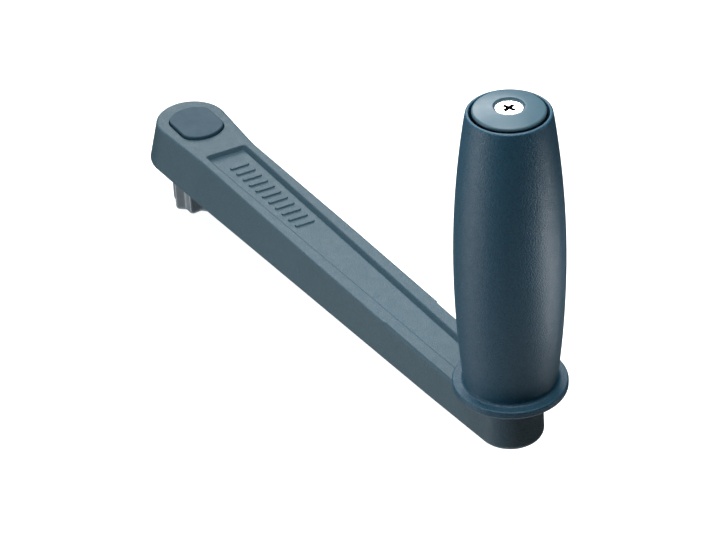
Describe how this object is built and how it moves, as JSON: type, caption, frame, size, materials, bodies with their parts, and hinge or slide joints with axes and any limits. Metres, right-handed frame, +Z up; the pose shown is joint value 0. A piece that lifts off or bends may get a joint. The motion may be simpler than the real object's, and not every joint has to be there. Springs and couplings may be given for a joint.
{
  "type": "winch handle",
  "caption": "Crank handle for a boat winch: moulded arm with a recessed top, eight-point drive spigot and a free-spinning flanged palm grip.",
  "frame": {"origin": "on the drive spigot's axis, in the plane of the shoulder under the boss, where the spigot leaves the arm", "axes": "+X runs along the arm from the spigot to the grip, +Z runs up the grip's axis, away from the winch"},
  "size_m": [0.2973, 0.0456, 0.1793],
  "materials": {
    "arm_plastic": "grey-blue glass-filled plastic with a fine moulded texture",
    "grip_plastic": "dark slate-blue satin plastic with a fine stipple",
    "boss_cap_plastic": "slate-blue satin plastic",
    "end_cap_plastic": "pale blue-grey semi-gloss plastic",
    "bearing_plastic": "natural white acetal",
    "core_plastic": "plain black moulded plastic",
    "spigot_alloy": "dull light-grey machined alloy",
    "stainless_steel": "plain turned stainless steel",
    "polished_steel": "bright polished stainless steel",
    "seal_rubber": "black nitrile rubber",
    "float_foam": "closed-cell buoyancy foam"
  },
  "bodies": {
    "arm": {"arm_body": "arm_plastic", "bottom_cover": "arm_plastic", "cover_gasket": "seal_rubber", "cover_screw_1": "stainless_steel", "cover_screw_2": "stainless_steel", "cover_screw_3": "stainless_steel", "cover_screw_4": "stainless_steel", "float_core_1": "float_foam", "float_core_2": "float_foam", "float_core_3": "float_foam", "drive_spigot": "spigot_alloy", "spigot_o_ring": "seal_rubber", "spigot_washer": "stainless_steel", "spigot_screw": "stainless_steel", "boss_cap": "boss_cap_plastic", "spindle": "stainless_steel", "spindle_nut": "stainless_steel", "spindle_washer": "stainless_steel", "thrust_washer": "bearing_plastic", "wave_washer": "stainless_steel", "retaining_washer": "stainless_steel", "end_cap": "end_cap_plastic", "end_cap_screw": "polished_steel"},
    "grip": {"grip_shell": "grip_plastic", "grip_core": "core_plastic", "lower_bush": "bearing_plastic", "upper_bush": "bearing_plastic"}
  },
  "joints": [
    {"name": "grip_spin", "type": "hinge", "parent": "arm", "child": "grip", "pos_m": [0.254, 0, 0.0266], "axis": [0, 0, 1], "continuous": true}
  ]
}
